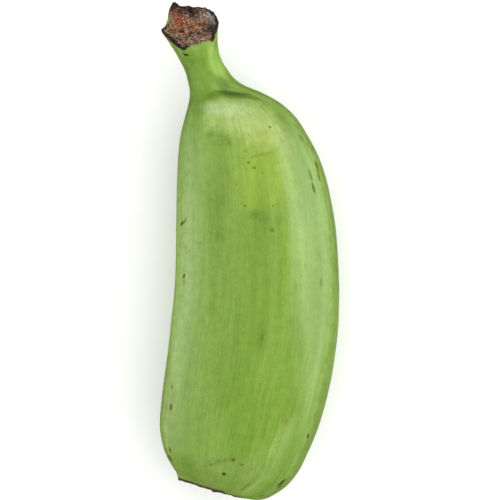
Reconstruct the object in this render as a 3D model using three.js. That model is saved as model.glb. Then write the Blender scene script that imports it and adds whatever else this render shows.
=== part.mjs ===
// A green cooking plantain: one short, stout fruit with the stalk it was broken off by,
// lying on its side as it rests on a table. It grew as one piece, so it is one solid.
// Millimetres, +Z up. Y runs along the fruit, from the blossom end towards the stalk, and
// the outer side of its curve faces +X. The origin is under the middle of its box.
import * as THREE from "three";

// How many faces the solid gets.
const SIDES = 64; // round the fruit
const RINGS_PER_STATION = 3; // along it
const BREAK_RINGS = 8; // from the torn edge of the stalk to the middle of the break
const SCAR_RINGS = 5; // from the middle of the blossom scar to its rim

// The stations along the fruit, each the section between a point on the inner side of the
// curve and one on the outer side. A tilted section leans back, towards the blossom end.
// Evenness is 0 where the corners are spaced as on the body and 1 as on the stalk.
const STATIONS = [
  // inner x, y,   outer x, y,   middle z, half height, tilt, evenness, turn, ridge height
  [-27.3, 6.9, -3.8, -0.3, 25.0, 9.8, -5, 0.3, 6, 0.9], // rim of the blossom scar
  [-28.3, 9.7, 5.0, -0.9, 25.2, 14.8, -3, 0.27, 5, 0.9],
  [-30.2, 12.9, 12.9, 3.4, 25.6, 19.0, -1, 0.24, 4, 0.9],
  [-32.2, 17.0, 17.8, 9.0, 26.0, 22.1, 0, 0.2, 3, 0.95],
  [-33.6, 22.0, 21.4, 15.7, 26.3, 24.3, 0, 0.17, 3, 1],
  [-34.3, 28.5, 25.6, 25.4, 26.6, 26.2, 0, 0.14, 2, 1],
  [-33.6, 37.7, 29.1, 36.9, 26.9, 27.2, 0, 0.12, 2, 1],
  [-32.2, 48.4, 31.6, 48.4, 27.1, 27.5, 0, 0.1, 2, 1],
  [-30.4, 62.5, 33.4, 62.5, 27.2, 27.7, 0, 0.05, 1, 1],
  [-28.9, 76.6, 34.1, 76.6, 27.2, 27.7, 0, 0, 0, 1],
  [-28.2, 90.4, 33.8, 90.4, 27.1, 27.5, 0, 0, 0, 1],
  [-28.0, 104.6, 32.4, 105.7, 26.8, 26.9, 0, 0, 0, 1],
  [-27.8, 117.9, 29.8, 119.5, 26.6, 26.2, 0, 0, 0, 1],
  [-27.2, 129.4, 26.3, 130.2, 26.3, 25.0, 0, 0.03, 0, 1],
  [-26.5, 137.8, 21.9, 138.6, 26.0, 23.2, 0, 0.08, 0, 1],
  [-25.2, 143.9, 17.4, 145.5, 25.6, 20.6, 0, 0.15, 0, 1],
  [-24.0, 148.5, 11.6, 151.0, 25.2, 17.0, 0, 0.3, 4, 1], // shoulder
  [-23.3, 152.3, 4.4, 155.0, 24.6, 12.0, 0, 0.55, 12, 1.2],
  [-23.2, 155.8, -1.8, 157.5, 24.0, 9.0, 0, 0.8, 22, 1.5],
  [-23.9, 159.2, -5.9, 160.2, 24.0, 7.9, 0, 1, 30, 1.8], // narrowest part of the stalk
  [-25.1, 163.2, -9.0, 164.2, 24.3, 7.4, 7, 1, 27, 1.8],
  [-27.4, 167.6, -11.3, 168.4, 25.0, 7.6, 18, 1, 20, 1.6],
  [-29.5, 171.6, -12.3, 173.2, 26.3, 8.9, 34, 1, 9, 1.3],
  [-33.0, 177.7, -12.4, 180.4, 28.2, 11.6, 49, 1, 0, 1.2], // end of the whole peel
];

// The ridges, by where they stand round the section, in degrees from the outer side over
// the top, on the body and on the stalk, and how far they stand out of a half width.
const RIDGES = [
  { onBody: 36, onStalk: 40, height: 0.085 },
  { onBody: 166, onStalk: 105, height: 0.075 },
  { onBody: 236, onStalk: 174, height: 0.07 },
  { onBody: 302, onStalk: 228, height: 0.07 },
  { onBody: 350, onStalk: 312, height: 0.02 },
];
const RIDGE_SPREAD = 14; // degrees from a crest to about a third of its height
const CREST_ROUNDNESS = 0.35; // of the spread

// Hollows in the upper side, where the stalk's front runs in under the shoulder: middle,
// reach along and across, the direction in degrees from +X, and depth.
const HOLLOWS = [
  { x: -4.6, y: 154.6, along: 5.8, across: 1.9, direction: -9, depth: 3.2 },
  { x: 6.0, y: 151.6, along: 5.5, across: 2.0, direction: -28, depth: 1.1 },
  { x: -10.5, y: 159.8, along: 6.5, across: 1.7, direction: 112, depth: 0.9 },
];

// The torn edge of the stalk: its corners, by the direction in degrees, their reach as a
// share of the whole peel's, and how far they stand on from it.
const TORN_EDGE = [
  { at: 11, reach: 0.95, stand: 1.0 },
  { at: 31, reach: 0.89, stand: 1.0 },
  { at: 40, reach: 0.94, stand: 1.0 },
  { at: 48, reach: 1.02, stand: 1.0 },
  { at: 54, reach: 0.83, stand: 0.8 },
  { at: 71, reach: 0.79, stand: 0.7 },
  { at: 90, reach: 0.78, stand: 0.7 },
  { at: 105, reach: 0.82, stand: 0.7 },
  { at: 111, reach: 1.06, stand: 1.1 },
  { at: 122, reach: 0.95, stand: 1.0 },
  { at: 140, reach: 0.87, stand: 1.1 },
  { at: 162, reach: 0.9, stand: 1.3 },
  { at: 178, reach: 1.07, stand: 2.2 },
  { at: 189, reach: 0.9, stand: 1.5 },
  { at: 201, reach: 0.78, stand: 1.2 },
  { at: 212, reach: 0.83, stand: 1.2 },
  { at: 222, reach: 0.97, stand: 1.6 },
  { at: 231, reach: 1.09, stand: 2.0 },
  { at: 243, reach: 1.18, stand: 3.6 },
  { at: 252, reach: 1.01, stand: 2.1 },
  { at: 262, reach: 0.94, stand: 1.9 },
  { at: 271, reach: 0.95, stand: 1.9 },
  { at: 282, reach: 0.87, stand: 1.6 },
  { at: 299, reach: 0.93, stand: 1.6 },
  { at: 317, reach: 1.0, stand: 1.5 },
  { at: 332, reach: 1.05, stand: 1.4 },
  { at: 345, reach: 1.05, stand: 1.3 },
  { at: 358, reach: 1.03, stand: 1.1 },
];
// The torn face inside that edge.
const BREAK_ROUGHNESS = 0.6; // how far the torn fibres stand up and down
const BREAK_SINK = 0.9; // how far the face lies below the edge
const BREAK_HOLLOW = { x: -3.8, z: -0.6, reach: 2.8, depth: 1.4 };
const RIM_WIDTH = 0.2; // of the way in from the edge

// The scar of the blossom.
const SCAR_DEPTH = 1.2;
const SCAR_ROUGHNESS = 0.3;

const PEEL_GREEN = 0x82a83e;

const radians = THREE.MathUtils.degToRad;

// A smooth curve through three columns of the station table.
function columns(read) {
  const points = STATIONS.map((station) => new THREE.Vector3(...read(station)));
  return new THREE.CatmullRomCurve3(points, false, "catmullrom", 0.5);
}

const innerSide = columns((s) => [s[0], s[1], s[4]]);
const outerSide = columns((s) => [s[2], s[3], s[4]]);
const girth = columns((s) => [s[5], s[6], s[9]]);
const turning = columns((s) => [s[7], s[8], 0]);

// A crest: 1 on the ridge's line, falling away on both sides.
function crest(distance) {
  return Math.exp(CREST_ROUNDNESS - Math.hypot(distance, CREST_ROUNDNESS));
}

// The outline of the section at a share of the way along, as SIDES points that reach from
// -1 to 1 across and up.
function sectionOutline(share) {
  const ridgeHeight = girth.getPoint(share).z;
  const { x: evenness, y: turn } = turning.getPoint(share);
  const outline = [];
  for (let side = 0; side < SIDES; side++) {
    const angle = (360 * side) / SIDES;
    let radius = 1;
    for (const ridge of RIDGES) {
      const at = THREE.MathUtils.lerp(ridge.onBody, ridge.onStalk, evenness) + turn;
      const away = THREE.MathUtils.euclideanModulo(angle - at + 180, 360) - 180;
      radius += ridge.height * ridgeHeight * crest(away / RIDGE_SPREAD);
    }
    outline.push([radius * Math.cos(radians(angle)), radius * Math.sin(radians(angle))]);
  }
  const reach = (axis, sign) => Math.max(...outline.map((point) => sign * point[axis]));
  const [right, left, up, down] = [reach(0, 1), reach(0, -1), reach(1, 1), reach(1, -1)];
  return outline.map(([x, z]) => [x / (x > 0 ? right : left), z / (z > 0 ? up : down)]);
}

// The frame of the section: its middle, half width and half height as vectors, and the
// direction in which the fruit runs on through it.
function sectionFrame(share) {
  const inner = innerSide.getPoint(share);
  const outer = outerSide.getPoint(share);
  const { x: halfHeight, y: tilt } = girth.getPoint(share);
  const middle = inner.clone().lerp(outer, 0.5);
  const across = outer.clone().sub(middle);
  const up = new THREE.Vector3(0, 0, 1).applyAxisAngle(across.clone().normalize(), radians(tilt));
  const onwards = up.clone().cross(across).normalize();
  return { middle, across, up: up.multiplyScalar(halfHeight), onwards };
}

// How far the hollows take the upper side down at a point.
function hollowDepth(x, y) {
  let depth = 0;
  for (const hollow of HOLLOWS) {
    const offset = new THREE.Vector2(x - hollow.x, y - hollow.y);
    offset.rotateAround(new THREE.Vector2(), -radians(hollow.direction));
    depth += hollow.depth * Math.exp(-((offset.x / hollow.along) ** 2 + (offset.y / hollow.across) ** 2));
  }
  return depth;
}

// Uneven ground made of crossing waves, from -1 to 1, the same every time.
function unevenness(x, z) {
  const coarse = Math.sin(1.3 * x + 0.7 * z + 0.4) * Math.sin(1.1 * z - 0.5 * x + 1.9);
  const fine = Math.sin(2.9 * x - 1.7 * z + 2.2) * Math.sin(2.3 * z + 1.9 * x + 0.3);
  return 0.6 * coarse + 0.4 * fine;
}

// How far out the torn edge reaches in a direction, and how far on it stands.
function tornEdge(direction) {
  const next = TORN_EDGE.find((corner) => corner.at >= direction) ?? TORN_EDGE[0];
  const last = TORN_EDGE[(TORN_EDGE.indexOf(next) + TORN_EDGE.length - 1) % TORN_EDGE.length];
  const turn = (angle) => THREE.MathUtils.euclideanModulo(angle - last.at, 360);
  const share = turn(direction) / turn(next.at);
  return {
    reach: THREE.MathUtils.lerp(last.reach, next.reach, share),
    stand: THREE.MathUtils.lerp(last.stand, next.stand, share),
  };
}

// How far the torn face stands on from the end of the whole peel, by its place across and
// up it, its share of the way out to the edge, and how far on the edge stands there.
function breakRelief(x, z, out, stand) {
  const rim = THREE.MathUtils.smoothstep(out, 1 - RIM_WIDTH, 1);
  const pit = Math.exp(-((x - BREAK_HOLLOW.x) ** 2 + (z - BREAK_HOLLOW.z) ** 2) / BREAK_HOLLOW.reach ** 2);
  const face = BREAK_ROUGHNESS * unevenness(x, z) - BREAK_SINK - BREAK_HOLLOW.depth * pit;
  return THREE.MathUtils.lerp(1.2 + face, stand, rim);
}

// The corky scar at the other end, a shallow dish.
function scarRelief(x, z, out) {
  return SCAR_ROUGHNESS * unevenness(x, z) - SCAR_DEPTH * (1 - out ** 2);
}

// Carries a point of a can, by its share of the way out from the axis, the side that it is
// on and its share of the way along, to its place on the fruit.
function placeOnFruit(out, side, share) {
  const torn = share > 1;
  const { middle, across, up, onwards } = sectionFrame(Math.min(share, 1));
  const { reach, stand } = torn ? tornEdge((360 * side) / SIDES) : { reach: 1, stand: 0 };
  const [x, z] = sectionOutline(Math.min(share, 1))[side].map((value) => value * reach * out);
  const point = middle.clone().addScaledVector(across, x).addScaledVector(up, z);
  const [right, high] = [x * across.length(), z * up.length()];
  if (torn) point.addScaledVector(onwards, breakRelief(right, high, out, stand));
  if (share === 0) point.addScaledVector(onwards, -scarRelief(right, high, out));
  if (z > 0) point.z -= hollowDepth(point.x, point.y);
  point.z = Math.max(point.z, 0); // the small flat that it lies on
  return point;
}

// The can's profile, from the middle of the break out, along and in again to the middle of
// the blossom scar, as shares. The torn face is the can's end, a step beyond the peel's.
function canProfile() {
  const profile = [];
  for (let ring = 0; ring <= BREAK_RINGS; ring++) profile.push(new THREE.Vector2(ring / BREAK_RINGS, 1.01));
  const along = (STATIONS.length - 1) * RINGS_PER_STATION;
  for (let ring = along; ring >= 0; ring--) profile.push(new THREE.Vector2(1, ring / along));
  for (let ring = SCAR_RINGS - 1; ring >= 0; ring--) profile.push(new THREE.Vector2(ring / SCAR_RINGS, 0));
  return profile;
}

// The fruit: the can is turned, and each of its points is carried to its place.
function fruitGeometry() {
  const profile = canProfile();
  const geometry = new THREE.LatheGeometry(profile, SIDES);
  const position = geometry.getAttribute("position");
  for (let side = 0; side <= SIDES; side++) {
    for (let ring = 0; ring < profile.length; ring++) {
      const place = placeOnFruit(profile[ring].x, side % SIDES, profile[ring].y);
      position.setXYZ(side * profile.length + ring, place.x, place.y, place.z);
    }
  }
  geometry.computeBoundingBox();
  const box = geometry.boundingBox;
  geometry.translate(-(box.min.x + box.max.x) / 2, -(box.min.y + box.max.y) / 2, 0);
  geometry.computeVertexNormals();
  return geometry;
}

const peel = new THREE.MeshStandardMaterial({ color: PEEL_GREEN, roughness: 0.45, metalness: 0 });

const plantain = new THREE.Group();
const fruit = new THREE.Mesh(fruitGeometry(), peel);
fruit.name = "plantain";
plantain.add(fruit);

export default plantain;
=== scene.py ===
# %% [markdown]
# # A green cooking plantain
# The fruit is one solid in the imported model, which fixes its size and place. This lesson builds
# the fine surface over it: the ridged and streaked peel, the torn end of the stalk with its
# fibres, and the corky scar at the other end. Lengths in the tables are millimetres, and MM
# turns them into metres.

import math
import random

import bmesh
import bpy
import numpy as np
from mathutils import Matrix, Vector, noise
from mathutils.bvhtree import BVHTree


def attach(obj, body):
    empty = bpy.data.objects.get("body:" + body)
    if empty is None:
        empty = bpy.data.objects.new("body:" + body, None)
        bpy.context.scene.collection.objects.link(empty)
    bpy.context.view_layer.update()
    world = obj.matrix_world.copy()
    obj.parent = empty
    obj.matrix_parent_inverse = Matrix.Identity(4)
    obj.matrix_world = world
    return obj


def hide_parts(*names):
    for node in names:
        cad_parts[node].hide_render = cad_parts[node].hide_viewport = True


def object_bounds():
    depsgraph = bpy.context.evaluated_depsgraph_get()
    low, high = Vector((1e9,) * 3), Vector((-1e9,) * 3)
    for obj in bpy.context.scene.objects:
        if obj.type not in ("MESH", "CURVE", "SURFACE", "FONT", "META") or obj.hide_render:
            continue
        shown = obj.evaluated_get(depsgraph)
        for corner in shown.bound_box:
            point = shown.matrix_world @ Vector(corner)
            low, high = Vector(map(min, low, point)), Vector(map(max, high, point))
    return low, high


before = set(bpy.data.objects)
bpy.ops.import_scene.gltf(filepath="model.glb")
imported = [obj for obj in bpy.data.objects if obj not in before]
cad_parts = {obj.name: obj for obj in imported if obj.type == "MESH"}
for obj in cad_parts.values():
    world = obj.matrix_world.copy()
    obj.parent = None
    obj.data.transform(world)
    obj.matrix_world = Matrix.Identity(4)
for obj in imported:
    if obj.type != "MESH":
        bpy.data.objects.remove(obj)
CAD_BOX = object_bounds()
MM = 0.001
scene = bpy.context.scene


def placed(name, data):
    """A new object in the scene, from a bmesh, a camera or a lamp."""
    if isinstance(data, bmesh.types.BMesh):
        mesh = bpy.data.meshes.new(name)
        data.to_mesh(mesh)
        data = mesh
    made = bpy.data.objects.new(name, data)
    scene.collection.objects.link(made)
    return made


# %% [markdown]
# ## The camera
# The fruit lies on its side and the camera looks straight down at it, with the stalk at the top.
# A camera without perspective would do, but a long lens from far away sees as a real one does.

# %% Camera
PICTURE_SIDE = 500  # pixels
PIXEL = 190 / 497  # millimetres at the height of the widest outline
OUTLINE_HEIGHT = 27 * MM
CAMERA_DISTANCE = 0.8
CAMERA_OFFSET = (0.0001, 0.0003)  # metres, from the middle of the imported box
SENSOR = 36.0

camera_data = bpy.data.cameras.new("camera")
camera_data.sensor_width = SENSOR
camera_data.lens = SENSOR * CAMERA_DISTANCE / (PICTURE_SIDE * PIXEL * MM)
camera = scene.camera = placed("camera", camera_data)
camera.location = (*CAMERA_OFFSET, OUTLINE_HEIGHT + CAMERA_DISTANCE)
print("lens", round(camera_data.lens, 1), "mm")

# %% [markdown]
# ## The form of the fruit
# A plantain could be pushed out of a sphere by hand, or swept along a curve. Here it is lofted:
# each row of the table is one section, between a point on the inner side of the curve and one
# on the outer side, and a smooth curve runs through every column. That keeps the outline exact,
# and lets the ridges turn where the body becomes the stalk.

# %% Sections along the fruit
STATIONS = np.array([
    # inner x, y,   outer x, y,   middle z, half height, tilt, evenness, turn, ridge height
    [-27.3, 6.9, -3.8, -0.3, 25, 9.8, -5, 0.3, 6, 0.9],  # rim of the blossom scar
    [-28.3, 9.7, 5, -0.9, 25.2, 14.8, -3, 0.27, 5, 0.9],
    [-30.2, 12.9, 12.9, 3.4, 25.6, 19, -1, 0.24, 4, 0.9],
    [-32.2, 17, 17.8, 9, 26, 22.1, 0, 0.2, 3, 0.95],
    [-33.6, 22, 21.4, 15.7, 26.3, 24.3, 0, 0.17, 3, 1],
    [-34.3, 28.5, 25.6, 25.4, 26.6, 26.2, 0, 0.14, 2, 1],
    [-33.6, 37.7, 29.1, 36.9, 26.9, 27.2, 0, 0.12, 2, 1],
    [-32.2, 48.4, 31.6, 48.4, 27.1, 27.5, 0, 0.1, 2, 1],
    [-30.4, 62.5, 33.4, 62.5, 27.2, 27.7, 0, 0.05, 1, 1],
    [-28.9, 76.6, 34.1, 76.6, 27.2, 27.7, 0, 0, 0, 1],
    [-28.2, 90.4, 33.8, 90.4, 27.1, 27.5, 0, 0, 0, 1],
    [-28, 104.6, 32.4, 105.7, 26.8, 26.9, 0, 0, 0, 1],
    [-27.8, 117.9, 29.8, 119.5, 26.6, 26.2, 0, 0, 0, 1],
    [-27.2, 129.4, 26.3, 130.2, 26.3, 25, 0, 0.03, 0, 1],
    [-26.5, 137.8, 21.9, 138.6, 26, 23.2, 0, 0.08, 0, 1],
    [-25.2, 143.9, 17.4, 145.5, 25.6, 20.6, 0, 0.15, 0, 1],
    [-24, 148.5, 11.6, 151, 25.2, 17, 0, 0.3, 4, 1],  # shoulder
    [-23.3, 152.3, 4.4, 155, 24.6, 12, 0, 0.55, 12, 1.2],
    [-23.2, 155.8, -1.8, 157.5, 24, 9, 0, 0.8, 22, 1.5],
    [-23.9, 159.2, -5.9, 160.2, 24, 7.9, 0, 1, 30, 1.8],  # narrowest part of the stalk
    [-25.1, 163.2, -9, 164.2, 24.3, 7.4, 7, 1, 27, 1.8],
    [-27.4, 167.6, -11.3, 168.4, 25, 7.6, 18, 1, 20, 1.6],
    [-29.5, 171.6, -12.3, 173.2, 26.3, 8.9, 34, 1, 9, 1.3],
    [-33, 177.7, -12.4, 180.4, 28.2, 11.6, 49, 1, 0, 1.2],  # end of the whole peel
])
SIDES = 224  # round the fruit
ANGLES = np.arange(SIDES) * 360 / SIDES


def station_at(share):
    """The table's row at a share of the way along, by Catmull-Rom."""
    place = min(max(share, 0), 1) * (len(STATIONS) - 1)
    first = min(int(place), len(STATIONS) - 2)
    t = place - first
    here, ahead = STATIONS[first], STATIONS[first + 1]
    behind = STATIONS[first - 1] if first else 2 * here - ahead
    beyond = STATIONS[first + 2] if first + 2 < len(STATIONS) else 2 * ahead - here
    speed, next_speed = (ahead - behind) / 2, (beyond - here) / 2
    return (
        here * (2 * t**3 - 3 * t**2 + 1) + speed * (t**3 - 2 * t**2 + t)
        + ahead * (3 * t**2 - 2 * t**3) + next_speed * (t**3 - t**2)
    )


def section_frame(share):
    """A section's middle, its half width and half height as vectors, and the way onwards."""
    inner_x, inner_y, outer_x, outer_y, z, half_height, tilt = station_at(share)[:7]
    inner, outer = np.array([inner_x, inner_y, z]), np.array([outer_x, outer_y, z])
    across = (outer - inner) / 2
    level = across / np.linalg.norm(across)
    upright = np.array([0.0, 0.0, 1.0])
    lean = math.radians(tilt)
    up = upright * math.cos(lean) + np.cross(level, upright) * math.sin(lean)
    return (inner + outer) / 2, across, up * half_height, np.cross(up, level)


print(len(STATIONS), "stations,", SIDES, "sides")

# %% [markdown]
# ## Ridges
# Five soft ridges run the whole length of the fruit, because it grew pressed between its
# neighbours. A bump in the material would vanish at the outline, so they are in the section
# itself. Each rises to a slightly rounded crest, and moves round from its place on the body to
# its place on the stalk.

# %% Ridges in the section
RIDGES = [
    # degrees round the body, degrees round the stalk, height as a share of a half width
    (36, 40, 0.085),
    (166, 105, 0.075),
    (236, 174, 0.07),
    (302, 228, 0.07),
    (350, 312, 0.02),
]
RIDGE_SPREAD = 14  # degrees, to about a third of the height
CREST_ROUNDNESS = 0.35  # of the spread


def crest_at(share, ridge):
    """How near each side of a section is to a ridge's crest, from 0 to 1."""
    on_body, on_stalk, _ = ridge
    evenness, turn = station_at(share)[7:9]
    line = on_body + (on_stalk - on_body) * evenness + turn
    away = (ANGLES - line + 180) % 360 - 180
    return np.exp(CREST_ROUNDNESS - np.hypot(away / RIDGE_SPREAD, CREST_ROUNDNESS))


def section_outline(share):
    """The section's outline, from -1 to 1 across and up."""
    ridge_height = station_at(share)[9]
    radius = 1 + ridge_height * sum(ridge[2] * crest_at(share, ridge) for ridge in RIDGES)
    x, z = radius * np.cos(np.radians(ANGLES)), radius * np.sin(np.radians(ANGLES))
    return x / np.where(x > 0, x.max(), -x.min()), z / np.where(z > 0, z.max(), -z.min())


print(len(RIDGES), "ridges")

# %% [markdown]
# ## Hollows
# Where the front of the stalk runs in under the shoulder the peel folds into a short dark hollow,
# and a fine crease runs to the blossom end. A sculpting brush could press them in, but soft dips
# given by a formula are easy to move and deepen.

# %% Hollows in the upper side
HOLLOWS = [
    # x, y, reach along, reach across, direction in degrees, depth
    (-4.6, 154.6, 5.8, 1.9, -9, 3.2),
    (6, 151.6, 5.5, 2, -28, 1.1),
    (-10.5, 159.8, 6.5, 1.7, 112, 0.9),
    (-1.3, 4.9, 4.6, 0.8, 43, 0.6),
]


def hollow_depth(x, y):
    """How far the hollows take the upper side down."""
    depth = np.zeros_like(x)
    for at_x, at_y, along, across, direction, deep in HOLLOWS:
        turn = math.radians(direction)
        on = (x - at_x) * math.cos(turn) + (y - at_y) * math.sin(turn)
        off = (y - at_y) * math.cos(turn) - (x - at_x) * math.sin(turn)
        depth += deep * np.exp(-((on / along) ** 2 + (off / across) ** 2))
    return depth


print(len(HOLLOWS), "hollows, the deepest", max(row[5] for row in HOLLOWS), "mm")

# %% [markdown]
# ## The torn end of the stalk
# The stalk broke off along a ragged slant. A fracture simulation would leave its shape to
# chance, so the edge is a few listed corners, with finer teeth from noise between them.
# The face inside is sunk, clumped and furrowed outwards, as torn fibres leave it.

# %% Torn edge and face
TORN_EDGE = np.array([
    # direction in degrees, reach as a share of the half width, stand in millimetres
    [11, 0.95, 1], [31, 0.89, 1], [40, 0.94, 1], [48, 1.02, 1], [54, 0.83, 0.8],
    [71, 0.79, 0.7], [90, 0.78, 0.7], [105, 0.82, 0.7], [111, 1.06, 1.1], [122, 0.95, 1],
    [140, 0.87, 1.1], [162, 0.9, 1.3], [178, 1.07, 2.2], [189, 0.9, 1.5], [201, 0.78, 1.2],
    [212, 0.83, 1.2], [222, 0.97, 1.6], [231, 1.09, 2], [243, 1.18, 3.6], [252, 1.01, 2.1],
    [262, 0.94, 1.9], [271, 0.95, 1.9], [282, 0.87, 1.6], [299, 0.93, 1.6], [317, 1, 1.5],
    [332, 1.05, 1.4], [345, 1.05, 1.3], [358, 1.03, 1.1],
])
FACE_LEVEL = 0.3  # beyond the end of the whole peel
BREAK_HOLLOW = (-3.8, -0.6, 2.8, 1.6)  # across, up, reach, depth
RIM_WIDTH = 0.16  # share of the way in, as the edge falls to the face
TEETH = ((1, 9, 0), (0.6, 21, 5))  # height, how many round, where in the noise
TEETH_REACH, TEETH_STAND = 0.035, 0.45
CLUMPS = ((0.7, 2.4, 3), (0.35, 0.9, 8))  # height, size, where in the noise
FURROWS = (0.45, 7, 1.5)  # height, how many, change outwards


def noise_at(x, y, depth):
    """Noise from -1 to 1 at arrays of places, all at one depth in the noise."""
    return np.array([noise.noise(Vector((*place, depth))) for place in zip(x, y)])


def noise_round(layers):
    """A sum of layers of noise, on every side."""
    x, y = np.cos(np.radians(ANGLES)), np.sin(np.radians(ANGLES))
    return sum(height * noise_at(x * count, y * count, depth) for height, count, depth in layers)


def table_round(table, column):
    """A column of a table of directions, on every side."""
    return np.interp(ANGLES, table[:, 0], table[:, column], period=360)


def face_relief(x, z, out):
    """How far the torn face stands on from its level: clumps, furrows and a dip."""
    direction = np.arctan2(z, x)
    clumps = sum(tall * noise_at(x / size, z / size, depth) for tall, size, depth in CLUMPS)
    high, count, change = FURROWS
    furrows = high * noise_at(np.cos(direction) * count, np.sin(direction) * count, out * change)
    dip_x, dip_z, reach, deep = BREAK_HOLLOW
    dip = deep * np.exp(-((x - dip_x) ** 2 + (z - dip_z) ** 2) / reach**2)
    return clumps + out * furrows - dip


TOOTHED = noise_round(TEETH)
EDGE_REACH = table_round(TORN_EDGE, 1) + TEETH_REACH * TOOTHED
EDGE_STAND = table_round(TORN_EDGE, 2) + TEETH_STAND * np.abs(TOOTHED)
print("torn edge reaches", EDGE_REACH.min().round(2), "to", EDGE_REACH.max().round(2))

# %% [markdown]
# ## The dried edge and the blossom scar
# The peel has dried black beside the break, and the blossom scar is a shallow corky dish whose
# dry rim stands up in lumps. Soft bands of paint would do, but a band of even width looks
# drawn, so two tables say how far each reaches in each direction.

# %% Dried edge and scar
DRIED_EDGE = np.array([
    # direction, reach on to the peel and in over the break in millimetres, blackness
    [0, 1, 1.6, 1], [22, 0.7, 1.5, 1], [40, 0.5, 1.4, 1], [48, 0.8, 1.7, 1], [54, 0.3, 0.5, 0.5],
    [64, 0.3, 0.4, 0.1], [98, 0.3, 0.4, 0.2], [105, 0.7, 0.9, 0.9], [111, 1.9, 1.6, 1],
    [126, 1, 1.3, 1], [150, 1, 1.2, 0.9], [168, 1, 1.3, 1], [180, 0.8, 1.3, 1],
    [190, 0.4, 0.9, 0.9], [201, 0.3, 0.5, 0.7], [220, 0.3, 0.6, 0.8], [240, 0.8, 1.4, 1],
    [262, 0.5, 1.5, 1], [285, 0.4, 1.3, 0.9], [305, 0.6, 1.1, 0.9], [325, 0.9, 1.3, 1],
    [345, 1, 1.6, 1],
])
SCAR_EDGE = np.array([
    # direction, reach of the dry rim on to the peel, how far its lumps stand
    [0, 0.6, 0], [35, 1.1, 0.1], [62, 1.7, 0.1], [74, 2.2, 0.2], [81, 3.6, 0.75], [88, 2, 0.15],
    [105, 2.2, 0.35], [118, 1.6, 0.1], [135, 2, 0.3], [160, 1.5, 0.2], [178, 1.6, 0.5],
    [200, 1.2, 0.1], [260, 1.5, 0.2], [320, 1.2, 0.1],
])
SCAR_HALF_WIDTH, SCAR_DEPTH = 6, 1.2  # millimetres
SCAR_RIM_REACH = 1.6
CRUMBS = ((0.22, 14, 9), (0.12, 30, 12))  # height, how many round, where in the noise
CORK_LUMPS = (0.35, 1.6)  # height and size in millimetres


def rim_lumps(along):
    """How far the scar's rim is pushed out on every side, at a distance from it."""
    lumps = table_round(SCAR_EDGE, 2) + noise_round(CRUMBS)
    return lumps * math.exp(-((along / SCAR_RIM_REACH) ** 2))


EDGE_DRY, EDGE_INWARDS, EDGE_BLACK = (table_round(DRIED_EDGE, column) for column in (1, 2, 3))
CORK_REACH = table_round(SCAR_EDGE, 1)
print("dry rim of the scar reaches", CORK_REACH.min().round(2), "to", CORK_REACH.max().round(2))

# %% [markdown]
# ## One can, carried to its place
# The mesh starts as a can: a profile from the middle of the break, along the side and in again to
# the middle of the scar, spun once round. Spin welds the seam, and merging closes the poles. Each
# ring then moves to its own section. Even spacing needs the table's shares looked up by distance.

# %% Rings of the can
RING_SPACING = 0.6  # millimetres along the side
FACE_RINGS, LIP_RINGS, SCAR_RINGS = 30, 5, 16
LIP_TOP = 1.2  # height of the lip, where the side ends at 1
LIP_BULGE = 0.04  # of the half width
MEASURED_SECTIONS = 1200

FINE_SHARES = np.linspace(0, 1, MEASURED_SECTIONS)
middles = np.array([section_frame(share)[0] for share in FINE_SHARES])
steps = np.linalg.norm(np.diff(middles, axis=0), axis=1)
DISTANCE = np.concatenate([[0], np.cumsum(steps)])
SIDE_LENGTH = DISTANCE[-1]
side_rings = round(SIDE_LENGTH / RING_SPACING)
SIDE_SHARES = np.interp(np.linspace(SIDE_LENGTH, 0, side_rings), DISTANCE, FINE_SHARES)
RINGS = [("face", out) for out in np.linspace(0, 1, FACE_RINGS)]
RINGS += [("lip", share) for share in np.linspace(1, 0, LIP_RINGS + 2)[1:-1]]
RINGS += [("side", share) for share in SIDE_SHARES]
RINGS += [("scar", out) for out in np.linspace(1, 0, SCAR_RINGS + 1)[1:]]


def can_point(kind, value):
    """The ring's place on the can's profile: its radius and its height."""
    return {
        "face": (value, LIP_TOP), "lip": (1, 1 + (LIP_TOP - 1) * value),
        "side": (1, value), "scar": (value, 0),
    }[kind]


def share_of(kind, value):
    """Where on the fruit the section of a ring is."""
    return {"face": 1, "lip": 1, "side": value, "scar": 0}[kind]


def carried(kind, value):
    """The ring's points on the fruit, in the table's millimetres."""
    share = share_of(kind, value)
    middle, across, up, onwards = section_frame(share)
    x, z = section_outline(share)
    out = value if kind in ("face", "scar") else 1
    blend = {"face": 1, "lip": value}.get(kind, 0)
    bulge = LIP_BULGE * math.sin(math.pi * blend) * (kind == "lip")
    reach = out * (1 + blend * (EDGE_REACH - 1) + bulge)
    points = middle + np.outer(x * reach, across) + np.outer(z * reach, up)
    right, high = x * reach * np.linalg.norm(across), z * reach * np.linalg.norm(up)
    if kind == "face":
        rim = np.clip((out - 1 + RIM_WIDTH) / RIM_WIDTH, 0, 1)
        face = FACE_LEVEL + face_relief(right, high, out)
        points += np.outer(face + (EDGE_STAND - face) * rim * rim * (3 - 2 * rim), onwards)
    if kind == "lip":
        points += np.outer(EDGE_STAND * blend, onwards)
    if kind == "side":
        points -= np.outer(rim_lumps(np.interp(value, FINE_SHARES, DISTANCE)), onwards)
    if kind == "scar":
        points -= np.outer(rim_lumps((1 - out) * SCAR_HALF_WIDTH), onwards)
        tall, size = CORK_LUMPS
        cork = tall * noise_at(right / size, high / size, 0)
        points += np.outer((SCAR_DEPTH * (1 - out**2) + cork) * (out < 1), onwards)
    points[:, 2] -= np.where(z > 0, hollow_depth(points[:, 0], points[:, 1]), 0)
    return points


print(len(RINGS), "rings,", side_rings, "of them along the side")

# %% Spin the can and carry it
POLE_GAP = 1e-5  # points nearer than this are merged


def nearest_side(degrees):
    """The number of the side nearest to a direction."""
    return round(degrees * SIDES / 360) % SIDES


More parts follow.
